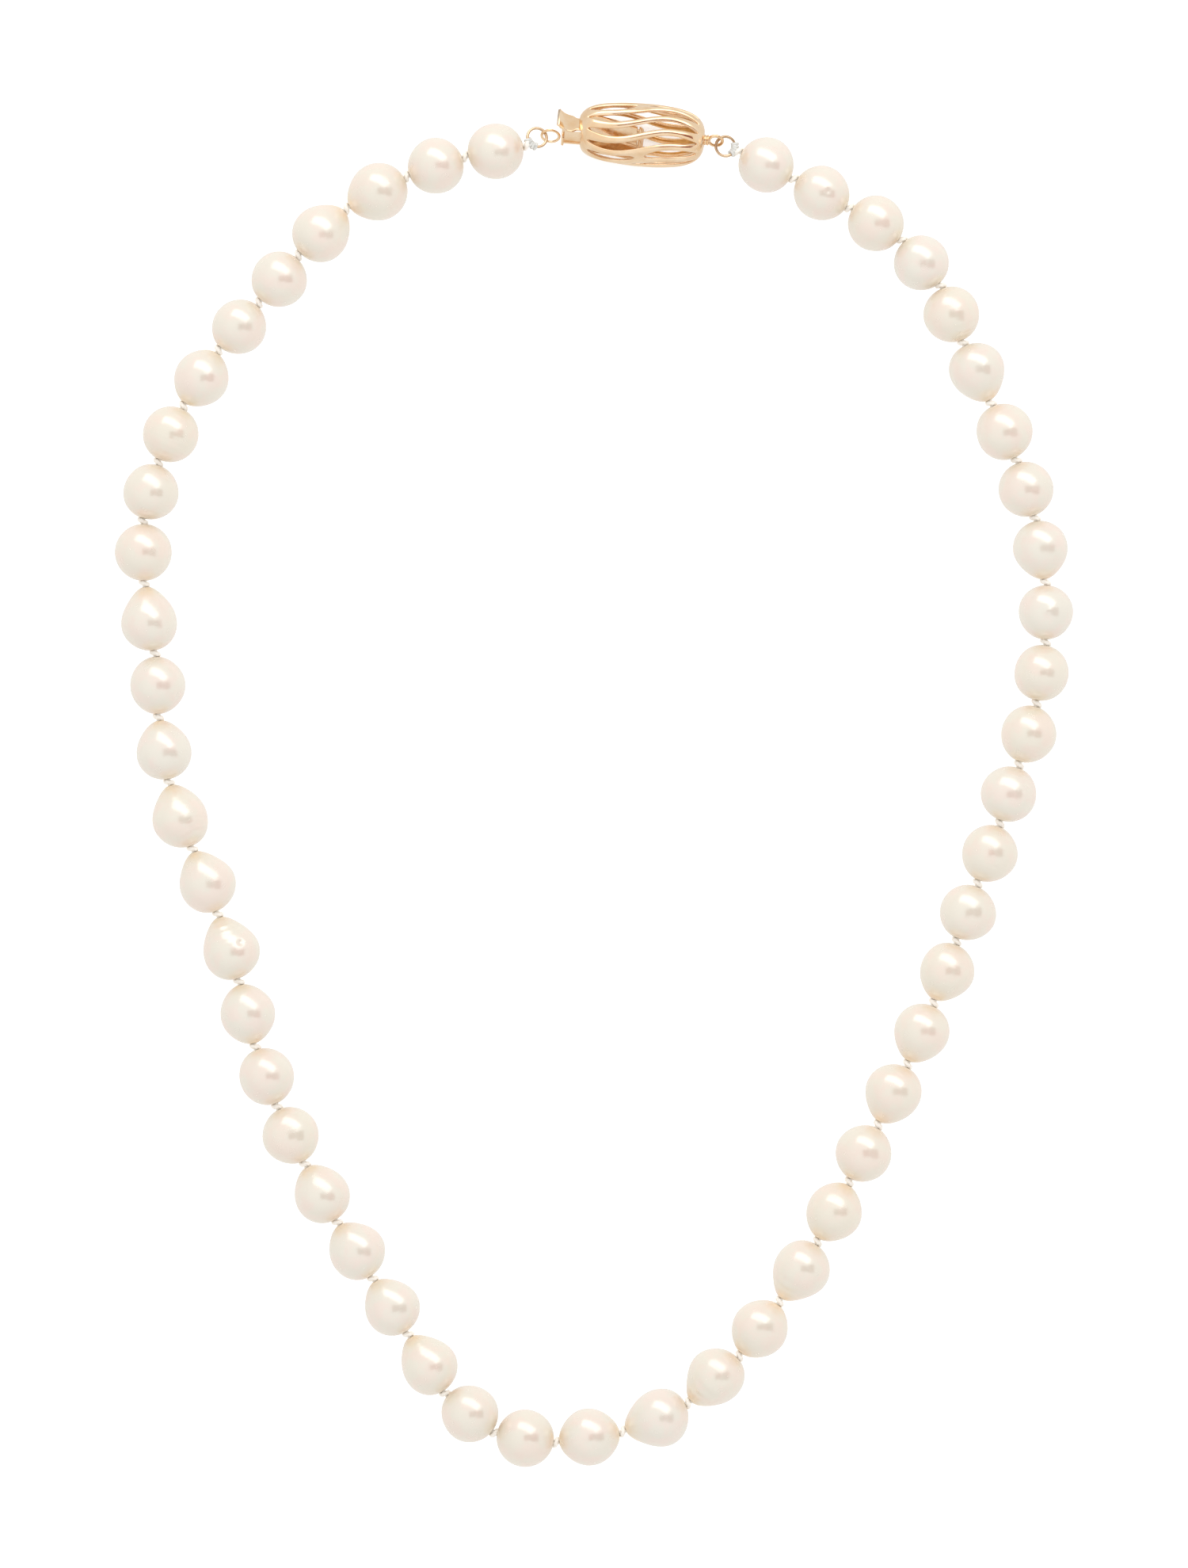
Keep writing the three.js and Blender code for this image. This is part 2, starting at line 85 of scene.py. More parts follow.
THREAD_RADIUS = 0.29
THREAD_SIDES = 15
PLY_COUNT = 3
PLY_DEPTH = 0.12  # share of the thread's radius
PLY_TWIST = 4.2  # radians of twist for each millimetre
KNOT_HALF_LENGTH = 0.24  # of the knot's centre line
KNOT_HALF_WIDTH = 0.4
KNOT_STEPS = 61
KNOT_END = 2.02  # the knot curve's parameter at its two ends
KNOT_FADE_START, KNOT_FADE_LENGTH = 1.55, 0.47  # where the curve fades to the thread's axis
KNOT_REACH = 9.5  # how far the bare curve runs to each side
LEAD_STEPS = 7  # of the straight thread on each side of a knot
LEAD_GAP = 0.1
END_KNOT_INSET = 0.5  # from the binding's middle back to the knot against the end pearl

CASE_LENGTH = 15.6
CASE_DIAMETER = 8.0
CASE_WALL = 0.5
CASE_POWER = 3  # of the barrel's superellipse outline
SHELL_LENGTH = 16.2  # of the whole outline, past where the mouth cuts it off
SLOT_COUNT = 12
SLOT_WIDTH = 1.02
SLOT_WAVE = math.radians(12)
SLOT_FIRST = math.radians(-2)  # from the thumb tab's side
SLOT_START, SLOT_END = -0.84, 0.9  # shares of the half length
SLOT_POINT, SLOT_FULLNESS = 3.2, 0.7  # powers that point a slot's ends and fill out its middle
BRIDGED_SLOTS = (1, 6, 9)
BRIDGE_HALF = 0.077  # share of the half length
RIB_CROWN = 0.3  # how far a rib's edges lie under its middle
RIB_ROWS = (23, 5, 25)  # before, along and past the bridges
RIB_COLUMNS = 9
CLOSING_ROWS = 11  # from the slots' ends to the point under the collar
CLOSING_POINT = 0.02  # share of the last open radius that is left there
MOUTH_HALF_WIDTH = 2.2
MOUTH_LOW, MOUTH_HIGH = -2.07, 1.52
MOUTH_CORNER = 2 / 5  # power of the mouth's rounded oblong
MOUTH_ROWS = 6
WELD_DISTANCE = 0.02

LEAF_THICKNESS = 0.34
LEAF_WIDTH = 3.6
NECK_WIDTH = 2.0
LOWER_LEAF_HEIGHT = -1.5
SHOULDER_HEIGHT = 0.95
FOLD_PLACE = -0.27  # along the barrel, from the case's centre
FOLD_RADIUS = 0.5
FOLD_STEPS = 19
LEAF_STEPS = 60
LOWER_SHOULDER_INSET = 0.95  # from the case's end to where the lower leaf widens
UPPER_SHOULDER_INSET = 1.2
BAND_SIDES = 40
BAND_CORNER = 2 / 7  # power of a band's rounded oblong section
END_PLATE_PLACE = -9.8
END_PLATE_HEIGHT = 1.9
END_PLATE_STEPS = 13
END_PLATE_ROUNDING = 0.55  # share of its width that it loses at its two ends
SPRING_GAP = 0.2  # between the two leaves' bands at the fold
RAMP_STEPS = 44
RAMP_POWER = 1.15
NECK_STEPS = 16
THUMB_PLACE = -8.15
THUMB_LENGTH = 2.3
THUMB_RISE = 1.1
THUMB_WIDTH = 2.8
THUMB_STEPS = 61
FILED_START = 0.45  # share of the thumb tab's length at which its filed ribs start
FILED_PITCH = 0.3
FILED_HEIGHT = 0.09

COLLAR_RADIUS = 0.7
COLLAR_SIDES = 48
# Places from the collar's start, and shares of its radius.
COLLAR_OUTLINE = np.array([
    [-0.3, 0.6], [0.02, 0.78], [0.12, 0.98], [0.24, 1.0], [0.32, 0.86], [0.42, 0.84],
    [0.5, 0.98], [0.6, 1.0], [0.7, 0.88], [0.76, 0.6], [0.8, 0.3],
])
RING_STEPS = 72
WIRE_SIDES = 20
RING_LEAN = math.radians(50)
TONGUE_RING = (1.1, 0.18)  # radius to the middle of the wire, and the wire's radius
CASE_RING = (0.85, 0.21)
JUMP_RING = (1.225, 0.19)
BINDING_LENGTH = 1.6
BINDING_TURNS = 5
BINDING_STEPS = 14  # to each turn
BINDING_SIDES = 10
BINDING_NEST = 0.85  # share of the thread's radius by which it stands off the wire
BINDING_THREAD_RADIUS = 0.19

# ---- Light and view, in metres ----

HORIZON_LIGHT, OVERHEAD_LIGHT = 0.86, 1.0
CAMERA_HEIGHT = 1.1
VIEW_HEIGHT = 0.1979  # what the view takes in at the strand's height
SENSOR_HEIGHT = 24.0  # millimetres


# ---- Frame: knots, pearls and the clasp's axes, in millimetres ----

def unit(vector):
    """Vectors at length 1."""
    return vector / np.linalg.norm(vector, axis=-1, keepdims=True)


def joint_point(name):
    """A joint's place at rest."""
    joint = next(j for j in frame["joints"] if j["name"] == name)
    return np.array(joint["pos_m"]) / MM


def node_points(name):
    """All the points of a CAD node's mesh."""
    mesh = frame["nodes"][name].data
    points = np.empty(len(mesh.vertices) * 3)
    mesh.vertices.foreach_get("co", points)
    return points.reshape(-1, 3) / MM


MIDDLE_KNOT = PEARL_COUNT // 2
knots = [
    joint_point("strand_open" if i == MIDDLE_KNOT else f"knot_{i:02d}")
    for i in range(PEARL_COUNT + 1)
]
strand_height = knots[0][2]

# The barrel's axes come from the leaf's hinge, which lies across the barrel.
leaf_hinge = next(j for j in frame["joints"] if j["name"] == "leaf_press")
barrel_y = np.array(leaf_hinge["axis"])
barrel_y = barrel_y * np.sign(barrel_y[1])
clasp_x = unit(np.array([barrel_y[1], -barrel_y[0], 0.0]))
clasp_y = np.cross(UP, clasp_x)
barrel_z = np.cross(clasp_x, barrel_y)
case_end = (node_points("clasp_case") @ clasp_x).max()
ring_box = node_points("case_ring") @ clasp_y
case_centre = (
    clasp_x * (case_end - CASE_LENGTH / 2)
    + clasp_y * (ring_box.max() + ring_box.min()) / 2
    + UP * CASE_DIAMETER / 2
)
barrel_axes = np.array([clasp_x, barrel_y, barrel_z])


def from_barrel(points):
    """Millimetres along the barrel's own axes, from the case's centre, to places in the frame."""
    return case_centre + points @ barrel_axes


# ---- Mesh makers ----

def make_piece(name, body, material, points, faces, attributes=None, uvs=None):
    """A smooth mesh piece from points in millimetres, riding on a body; uvs are one per corner."""
    mesh = bpy.data.meshes.new(name)
    mesh.from_pydata((points * MM).tolist(), [], faces)
    mesh.polygons.foreach_set("use_smooth", np.ones(len(faces), bool))
    if uvs is not None:
        layer = mesh.uv_layers.new(name="surface")
        layer.data.foreach_set("uv", uvs.ravel())
    for key, values in (attributes or {}).items():
        mesh.attributes.new(key, "FLOAT", "POINT").data.foreach_set("value", values)
    mesh.materials.append(material)
    piece = bpy.data.objects.new(name, mesh)
    bpy.context.scene.collection.objects.link(piece)
    if body:
        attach(piece, body)
    return piece


def grid_faces(rows, columns, wrap_rows, wrap_columns):
    """The squares of a grid of points numbered row by row, joined end to end where it wraps."""
    r = np.arange(rows if wrap_rows else rows - 1)[:, None]
    c = np.arange(columns if wrap_columns else columns - 1)[None, :]
    r2, c2 = (r + 1) % rows, (c + 1) % columns
    corners = [r * columns + c, r * columns + c2, r2 * columns + c2, r2 * columns + c]
    return np.stack([np.broadcast_to(k, (r.size, c.size)) for k in corners], -1).reshape(-1, 4)


def grid_uvs(rows, columns, wrap_rows, wrap_columns):
    """For each corner of grid_faces: its share along the columns and along the rows, 0 to 1."""
    r_count = rows if wrap_rows else rows - 1
    c_count = columns if wrap_columns else columns - 1
    r = np.arange(r_count)[:, None, None] + np.array([0, 0, 1, 1])
    c = np.arange(c_count)[None, :, None] + np.array([0, 1, 1, 0])
    r, c = np.broadcast_arrays(r / r_count, c / c_count)
    return np.stack([c, r], -1).reshape(-1, 4, 2)


def inside_out(points, faces):
    """Whether the squares face inwards: the volumes of the pyramids from the middle to each one's
    two triangles add up to less than nothing."""
    a, b, c, d = (points[faces[:, k]] - points.mean(0) for k in range(4))
    return (np.cross(a, b) * c).sum() + (np.cross(a, c) * d).sum() < 0


def grid_piece(name, body, material, grid, attributes=None, closed=False):
    """A piece whose grid of points wraps round along each row. A closed one's last row joins its
    first too, as a ring or a bead with its hole does; otherwise a flat face closes each end."""
    rows, columns = grid.shape[:2]
    points = grid.reshape(-1, 3)
    faces = grid_faces(rows, columns, closed, True)
    uvs = grid_uvs(rows, columns, closed, True)
    ends = np.stack([np.arange(columns)[::-1], np.arange(columns) + len(points) - columns])
    if inside_out(points, faces):
        faces, uvs, ends = faces[:, ::-1], uvs[:, ::-1], ends[:, ::-1]
    faces, uvs = faces.tolist(), uvs.reshape(-1, 2)
    if not closed:
        faces += ends.tolist()
        uvs = np.concatenate([uvs, np.zeros((ends.size, 2))])
    return make_piece(name, body, material, points, faces, attributes, uvs)


def carried_frames(path):
    """Along a path: its direction, and two directions across it that turn as little as they can."""
    along = unit(np.gradient(path, axis=0))
    across = np.empty_like(along)
    seed = np.cross(along[0], UP)
    across[0] = unit(seed if np.linalg.norm(seed) > 0.1 else np.cross(along[0], [1.0, 0, 0]))
    for i in range(1, len(path)):
        across[i] = unit(across[i - 1] - along[i] * (across[i - 1] @ along[i]))
    return along, across, np.cross(along, across)


def tube(path, radius, sides, plies=0):
    """A round section carried along a path. With plies, its radius swells in that many strands,
    which twist round it with the length."""
    along, across, other = carried_frames(path)
    length = np.concatenate([[0], np.cumsum(np.linalg.norm(np.diff(path, axis=0), axis=1))])
    turn = np.linspace(0, 2 * np.pi, sides, endpoint=False)
    swell = 1 + (PLY_DEPTH * np.cos(plies * (turn - PLY_TWIST * length[:, None])) if plies else 0)
    reach = (np.broadcast_to(radius, len(path))[:, None] * swell)[..., None]
    around = np.cos(turn)[:, None] * across[:, None] + np.sin(turn)[:, None] * other[:, None]
    return path[:, None] + reach * around


def tube_piece(name, body, material, path, radius, sides, plies=0):
    """A piece made of one tube, closed flat at both ends."""
    return grid_piece(name, body, material, tube(path, radius, sides, plies))


# ---- Material groups ----

def new_group(name, inputs, outputs):
    """An empty shader group with its named sockets, and its input and output nodes."""
    group = bpy.data.node_groups.new(name, "ShaderNodeTree")
    for label, kind, value in inputs:
        socket = group.interface.new_socket(label, in_out="INPUT", socket_type="NodeSocket" + kind)
        socket.default_value = value
    for label, kind in outputs:
        group.interface.new_socket(label, in_out="OUTPUT", socket_type="NodeSocket" + kind)
    nodes = group.nodes
    return group, nodes.new("NodeGroupInput"), nodes.new("NodeGroupOutput")


def add_node(tree, kind, inputs=None, **settings):
    """A node with its settings; each input is a value, or the socket that feeds it."""
    node = tree.nodes.new("ShaderNode" + kind)
    for key, value in settings.items():
        setattr(node, key, value)
    for key, value in (inputs or {}).items():
        if isinstance(value, bpy.types.NodeSocket):
            tree.links.new(value, node.inputs[key])
        else:
            node.inputs[key].default_value = value
    return node


def mix_colour(tree, factor, first, second):
    """The first colour where the factor is 0, the second where it is 1."""
    node = add_node(tree, "Mix", data_type="RGBA", blend_type="MIX")
    for index, value in ((0, factor), (6, first), (7, second)):
        if isinstance(value, bpy.types.NodeSocket):
            tree.links.new(value, node.inputs[index])
        else:
            node.inputs[index].default_value = value
    return node.outputs[2]


def sums(tree, operation, first, second):
    """One sum of two values, such as ADD or MULTIPLY."""
    node = add_node(tree, "Math", {0: first, 1: second}, operation=operation)
    return node.outputs[0]


def smooth_range(tree, value, low, high, out_low=0.0, out_high=1.0):
    """The value carried smoothly from one range to another, and held at its ends."""
    node = add_node(
        tree, "MapRange",
        {"Value": value, "From Min": low, "From Max": high, "To Min": out_low, "To Max": out_high},
        interpolation_type="SMOOTHSTEP",
    )
    return node.outputs["Result"]


def noise(tree, vector, scale, detail):
    """Cloudy noise from 0 to 1; scale is roughly in clouds to the metre."""
    node = add_node(tree, "TexNoise", {"Vector": vector, "Scale": scale, "Detail": detail})
    return node.outputs["Fac"]


def nacre_group():
    """Nacre: a body colour that blushes in soft clouds, with a painted warm glow towards the holes,
    fine growth lines round the hole's axis, and a faint orange-peel relief."""
    group, source, out = new_group(
        "nacre_skin",
        [
            ("Body", "Color", (0.9, 0.8, 0.7, 1)), ("Warm", "Color", (0.9, 0.6, 0.4, 1)),
            ("Blush", "Color", (0.9, 0.7, 0.7, 1)), ("Growth Lines", "Float", 1.0),
        ],
        [("Color", "Color"), ("Roughness", "Float"), ("Normal", "Vector")],
    )
    place = add_node(group, "TexCoord").outputs["Object"]
    # The tip attribute carries the painted warm glow towards the holes, full on the hole's wall.
    tip = add_node(group, "Attribute", attribute_name="tip").outputs["Fac"]
    tone = add_node(group, "Attribute", attribute_name="tone").outputs["Fac"]
    around = add_node(group, "Attribute", attribute_name="ripple").outputs["Fac"]
    clouds = smooth_range(group, noise(group, place, 420, 3), 0.38, 0.66)
    blushed = mix_colour(
        group, sums(group, "MULTIPLY", clouds, 0.85),
        source.outputs["Body"], source.outputs["Blush"],
    )
    toned = mix_colour(group, sums(group, "MULTIPLY", tone, 0.5), blushed, source.outputs["Warm"])
    patches = smooth_range(group, noise(group, place, 900, 2), 0.35, 0.7, 0.45, 1.0)
    # Painted warm glow towards the holes, broken into patches.
    glow_warmed = mix_colour(
        group, sums(group, "MULTIPLY", tip, patches), toned, source.outputs["Warm"]
    )
    group.links.new(glow_warmed, out.inputs["Color"])
    rough = smooth_range(group, noise(group, place, 700, 3), 0.3, 0.75, 0.19, 0.28)
    group.links.new(rough, out.inputs["Roughness"])
    wander = sums(group, "MULTIPLY", noise(group, place, 260, 2), 9.0)
    lines = add_node(
        group, "Math", {0: sums(group, "ADD", sums(group, "MULTIPLY", around, 38.0), wander)},
        operation="SINE",
    ).outputs[0]
    weighted = sums(group, "MULTIPLY", lines, source.outputs["Growth Lines"])
    fine = sums(group, "MULTIPLY", noise(group, place, 1100, 1), 1.2)
    relief = add_node(
        group, "Bump",
        {"Height": sums(group, "ADD", sums(group, "MULTIPLY", weighted, 0.25), fine),
         "Strength": 0.12, "Distance": 0.00006},
    )
    group.links.new(relief.outputs["Normal"], out.inputs["Normal"])
    return group


def gold_group():
    """Worked gold: a colour that drifts between two tones, a roughness that drifts with the
    polish, and fine drawn scratches along the piece."""
    group, source, out = new_group(
        "worked_gold",
        [
            ("Light", "Color", (0.9, 0.7, 0.5, 1)), ("Deep", "Color", (0.7, 0.4, 0.2, 1)),
            ("Drift", "Float", 0.4), ("Smooth", "Float", 0.1), ("Dull", "Float", 0.3),
            ("Relief", "Float", 0.1),
        ],
        [("Color", "Color"), ("Roughness", "Float"), ("Normal", "Vector")],
    )
    place = add_node(group, "TexCoord").outputs["Object"]
    drift = smooth_range(group, noise(group, place, 330, 3), 0.35, 0.7)
    colour = mix_colour(
        group, sums(group, "MULTIPLY", drift, source.outputs["Drift"]),
        source.outputs["Light"], source.outputs["Deep"],
    )
    group.links.new(colour, out.inputs["Color"])
    wear = smooth_range(group, noise(group, place, 1400, 4), 0.35, 0.7)
    span = sums(group, "SUBTRACT", source.outputs["Dull"], source.outputs["Smooth"])
    rough = sums(group, "ADD", sums(group, "MULTIPLY", wear, span), source.outputs["Smooth"])
    group.links.new(rough, out.inputs["Roughness"])
    drawn = add_node(group, "Mapping", {"Vector": place, "Scale": (0.25, 1.0, 1.0)})
    scratches = noise(group, drawn.outputs["Vector"], 5200, 3)
    relief = add_node(
        group, "Bump",
        {"Height": scratches, "Strength": source.outputs["Relief"], "Distance": 0.00004},
    )
    group.links.new(relief.outputs["Normal"], out.inputs["Normal"])
    return group


def silk_group():
    """Silk: plied strands that run slantwise over the surface, with a little soiling in clouds, and
    painted shade in the grooves between the strands.
    """
    group, source, out = new_group(
        "plied_silk",
        [
            ("Thread", "Color", (0.8, 0.78, 0.74, 1)), ("Soil And Groove Shade", "Color", (0.5, 0.46, 0.42, 1)),
            ("Soiling", "Float", 0.3),
        ],
        [("Color", "Color"), ("Normal", "Vector")],
    )
    coordinate = add_node(group, "TexCoord")
    fibres = add_node(
        group, "TexWave", {"Vector": coordinate.outputs["UV"], "Scale": 7.0, "Distortion": 1.5},
        bands_direction="DIAGONAL",
    ).outputs["Fac"]
    clouds = smooth_range(group, noise(group, coordinate.outputs["Object"], 1500, 3), 0.35, 0.7)
    soiled = mix_colour(
        group, sums(group, "MULTIPLY", clouds, source.outputs["Soiling"]),
        source.outputs["Thread"], source.outputs["Soil And Groove Shade"],
    )
    # Painted shade: where the strands' relief is low, in the grooves, the colour darkens towards
    # the soil colour.
    shaded = mix_colour(
        group, sums(group, "MULTIPLY", sums(group, "SUBTRACT", 1.0, fibres), 0.25),
        soiled, source.outputs["Soil And Groove Shade"],
    )
    group.links.new(shaded, out.inputs["Color"])
    relief = add_node(group, "Bump", {"Height": fibres, "Strength": 0.5, "Distance": 0.00003})
    group.links.new(relief.outputs["Normal"], out.inputs["Normal"])
    return group


def finish_material(name, group, values, shader):
    """A Principled material whose varying sockets come from a group and the rest are plain."""
    material = bpy.data.materials.new(name)
    material.use_nodes = True
    tree = material.node_tree
    principled = tree.nodes["Principled BSDF"]
    skin = tree.nodes.new("ShaderNodeGroup")
    skin.node_tree = group
    for key, value in values.items():
        skin.inputs[key].default_value = value
    sockets = {"Color": "Base Color", "Roughness": "Roughness", "Normal": "Normal"}
    for output, socket in sockets.items():
        if output in skin.outputs:
            tree.links.new(skin.outputs[output], principled.inputs[socket])
    for key, value in shader.items():
        principled.inputs[key].default_value = value
    return material


nacre_skin = nacre_group()
worked_gold = gold_group()
plied_silk = silk_group()

NACRE_SHADER = {
    "IOR": 2.6, "Coat Weight": 0.6, "Coat Roughness": 0.2, "Coat IOR": 1.6,
    "Coat Tint": (1.0, 0.95, 0.88, 1),
}
nacre = finish_material(
    "cream_nacre", nacre_skin,
    {"Body": (0.76, 0.74, 0.675, 1), "Warm": (0.86, 0.68, 0.44, 1), "Blush": (0.81, 0.70, 0.65, 1),
     "Growth Lines": 0.5},
    NACRE_SHADER,
)
nacre_lined = finish_material(
    "cream_nacre_lined", nacre_skin,
    {"Body": (0.76, 0.74, 0.665, 1), "Warm": (0.86, 0.68, 0.44, 1), "Blush": (0.81, 0.70, 0.64, 1),
     "Growth Lines": 0.9},
    NACRE_SHADER,
)
gold = finish_material(
    "polished_gold", worked_gold,
    {"Light": (0.96, 0.75, 0.52, 1), "Deep": (0.84, 0.54, 0.28, 1), "Drift": 0.6,
     "Smooth": 0.1, "Dull": 0.24, "Relief": 0.08},
    {"Metallic": 1.0},
)
# Inside the case: a rougher finish, and a darker, deeper orange colour that is painted shade and
# painted warm reflections of the gold round it.
inner_gold_painted_shade = finish_material(
    "rough_gold_painted_shade", worked_gold,
    {"Light": (0.80, 0.47, 0.16, 1), "Deep": (0.62, 0.30, 0.08, 1), "Drift": 0.7,
     "Smooth": 0.28, "Dull": 0.5, "Relief": 0.35},
    {"Metallic": 1.0},
)
worn_gold = finish_material(
    "worn_ring_gold", worked_gold,
    {"Light": (0.82, 0.62, 0.42, 1), "Deep": (0.50, 0.34, 0.20, 1), "Drift": 0.8,
     "Smooth": 0.16, "Dull": 0.42, "Relief": 0.3},
    {"Metallic": 1.0},
)
silk = finish_material(
    "off_white_silk", plied_silk,
    {"Thread": (1.0, 0.97, 0.92, 1), "Soil And Groove Shade": (0.94, 0.89, 0.81, 1), "Soiling": 0.3},
    {"Roughness": 0.7},
)
grey_silk = finish_material(
    "greyed_silk", plied_silk,
    {"Thread": (0.84, 0.84, 0.81, 1), "Soil And Groove Shade": (0.52, 0.52, 0.50, 1), "Soiling": 0.6},
    {"Roughness": 0.7},
)


# ---- Pearls ----

# Marks that single pearls have: kind, the direction in plan in which the mark faces, as shares of
# the radius to the right and up the loop, its depth in millimetres and its width in radians. A
# depth below nothing is a bump.
MARKS = {
    5: [("pit", (-0.3, -0.5), 0.05, 0.09)],
    8: [("rings", (0.2, -0.7), 0.012, 0.9)],
    14: [("wrinkles", (0.5, -0.45), 0.03, 0.45)],
    16: [("pit", (0.42, 0.36), 0.22, 0.12), ("rings", (-0.3, 0.8), 0.03, 0.5)],
    21: [("pit", (-0.45, 0.1), 0.05, 0.1)],
    28: [("wrinkles", (-0.6, -0.5), 0.035, 0.5)],
    30: [("wrinkles", (-0.55, -0.6), 0.03, 0.4)],
    37: [("pit", (0.2, -0.5), 0.05, 0.08)],
    41: [("pit", (0.05, 0.05), -0.06, 0.1)],
    46: [("wrinkles", (0.5, -0.5), 0.03, 0.4)],
    49: [("pit", (0.22, 0.02), 0.1, 0.1)],
}
LINED_PEARLS = (3, 8, 14, 16, 19, 23, 28, 31, 35, 39, 46)


def pearl_frame(number):
    """From the CAD node: the direction of the hole, the body's centre, its radius, and how far each
    face stands out past the round body, which is the length of the tip pulled out there."""
    start, end = knots[number - 1], knots[number]
    along = unit(end - start)
    points = node_points(f"pearl_{number:02d}")
    places = (points - start) @ along
    reach = np.linalg.norm(points - start - places[:, None] * along, axis=1)
    radius = reach.max()
    middle = places[reach > 0.99 * radius].mean()
    flat = math.sqrt(radius**2 - reach.min() ** 2)
    tips = [max(middle - places.min() - flat, 0), max(places.max() - middle - flat, 0)]
    return along, start + middle * along, radius, tips


def pearl_grid(number):
    """An off-round bead with its hole. By the angle from the first hole, the body is a circle whose
    two ends are pulled out into tips; round the hole it swells and sinks in a few slow waves. It
    leans to one side of the hole, and down until it rests on the surface."""
    random = np.random.default_rng(PEARL_SEED + number)
    along, centre, radius, tips = pearl_frame(number)
    side = np.cross(UP, along)
    edge = math.asin(HOLE_RADIUS / radius)
    angle = np.linspace(edge, math.pi - edge, PEARL_ROWS)[:, None]
    turn = np.linspace(0, 2 * math.pi, PEARL_COLUMNS, endpoint=False)[None, :]
    body = np.sin(angle) ** 2
    waves = sum(
        random.normal(0, size) * np.cos(folds * turn + random.uniform(0, 2 * math.pi))
        * np.sin(angle) ** folds * np.cos((angle - random.uniform(0.9, 2.2)) * stretch)
        for folds, size, stretch in PEARL_WAVES
    )
    swell = 1 + waves + random.normal(0, 0.012) * np.sin(2 * angle)
    pulled = max(tips)
    lean = random.uniform(-0.12, 0.12) + random.choice([-1, 1]) * 0.22 * pulled
    first = tips[0] * np.exp(-((angle / TIP_WIDTH) ** 2))
    last = tips[1] * np.exp(-(((math.pi - angle) / TIP_WIDTH) ** 2))
    x = last - first - radius * np.cos(angle) * (1 + 0.4 * waves * body) + 0 * turn
    across = radius * np.sin(angle) * swell
    y = across * np.cos(turn) + lean * body
    z = across * np.sin(turn) + 0 * body
    z = z - (strand_height + z.min()) * body
    outer = centre + x[..., None] * along + y[..., None] * side + z[..., None] * UP
    outer = marked(outer, centre, along, radius, MARKS.get(number, ()))
    wall_places = np.linspace(x[-1, 0], x[0, 0], len(HOLE_WALL) + 2)[1:-1]
    ring = np.cos(turn[0])[:, None] * side + np.sin(turn[0])[:, None] * UP
    wall_reach = np.array(HOLE_WALL) * HOLE_RADIUS
    wall = centre + wall_places[:, None, None] * along + wall_reach[:, None, None] * ring
    grid = np.concatenate([outer, wall])
    # A painted warm glow towards each hole: full by a pulled tip and on the hole's wall, weaker by
    # a round end.
    glow_shares = [1.0 if tip > PULLED_TIP else ROUND_GLOW for tip in tips]
    tip = glow_shares[0] * np.exp(-((angle / GLOW_WIDTH) ** 2))
    tip = tip + glow_shares[1] * np.exp(-(((math.pi - angle) / GLOW_WIDTH) ** 2))
    wall_shape = (len(HOLE_WALL), PEARL_COLUMNS)
    tip = np.concatenate([tip + 0 * turn, np.ones(wall_shape)]).clip(0, 1)
    ripple = np.concatenate([angle + 0 * turn, np.zeros(wall_shape)])
    tone = np.full(tip.size, random.uniform(0.0, 0.22))
    return grid, {"tip": tip.ravel(), "ripple": ripple.ravel(), "tone": tone}


def marked(points, centre, along, radius, marks):
    """Presses each mark into the surface: a pit is one dent, rings and wrinkles are a fading run of
    them, rings with the angle from the hole and wrinkles with the angle from the mark."""
    facing = unit(points - centre)
    for kind, (right, up), depth, width in marks:
        towards = np.array([right, up, math.sqrt(max(1 - right**2 - up**2, 0))])
        away = np.arccos((facing @ unit(towards)).clip(-1, 1))
        fade = np.exp(-((away / width) ** 2))
        if kind == "rings":
            fade = fade * np.sin(26 * np.arccos((facing @ along).clip(-1, 1)))
        if kind == "wrinkles":
            fade = fade * np.sin(20 * np.arccos((facing @ along).clip(-1, 1)) + 6 * away)
        points = points - depth * fade[..., None] * facing
    return points


def build_pearls():
    """Each pearl in place of its CAD node."""
    for number in range(1, PEARL_COUNT + 1):
        name = f"pearl_{number:02d}"
        grid, attributes = pearl_grid(number)
        material = nacre_lined if number in LINED_PEARLS else nacre
        pearl = grid_piece("nacre_" + name, name, material, grid, attributes, closed=True)
        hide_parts(name)


# ---- Silk: a knot between each two pearls, and a wound binding on each jump ring ----

def knot_path(before, knot, after):
    """A thread from one pearl's middle through an overhand knot to the next pearl's middle. The
    knot is the long trefoil curve, t^5 - 10t along, t^3 - 3t and t^4 - 4t^2 across, faded to the
    axis."""
    t = np.linspace(-KNOT_END, KNOT_END, KNOT_STEPS)
    fade = 1 - ((np.abs(t) - KNOT_FADE_START) / KNOT_FADE_LENGTH).clip(0, 1) ** 2
    run = (t**5 - 10 * t) * KNOT_HALF_LENGTH / KNOT_REACH
    wide = (t**3 - 3 * t) * KNOT_HALF_WIDTH / 2 * fade
    high = (t**4 - 4 * t**2 + 2) * KNOT_HALF_WIDTH / 2 * fade
    reach = [np.linalg.norm(knot - before), np.linalg.norm(after - knot)]
    lead = np.linspace(-reach[0], run[0] - LEAD_GAP, LEAD_STEPS)
    tail = np.linspace(run[-1] + LEAD_GAP, reach[1], LEAD_STEPS)
    run = np.concatenate([lead, run, tail])
    wide, high = (np.pad(values, LEAD_STEPS) for values in (wide, high))
    directions = np.array([unit(knot - before), unit(after - knot)])
    side = unit(np.cross(UP, directions.sum(0)))
    forward = directions[(run > 0).astype(int)]
    return knot + run[:, None] * forward + wide[:, None] * side + high[:, None] * UP


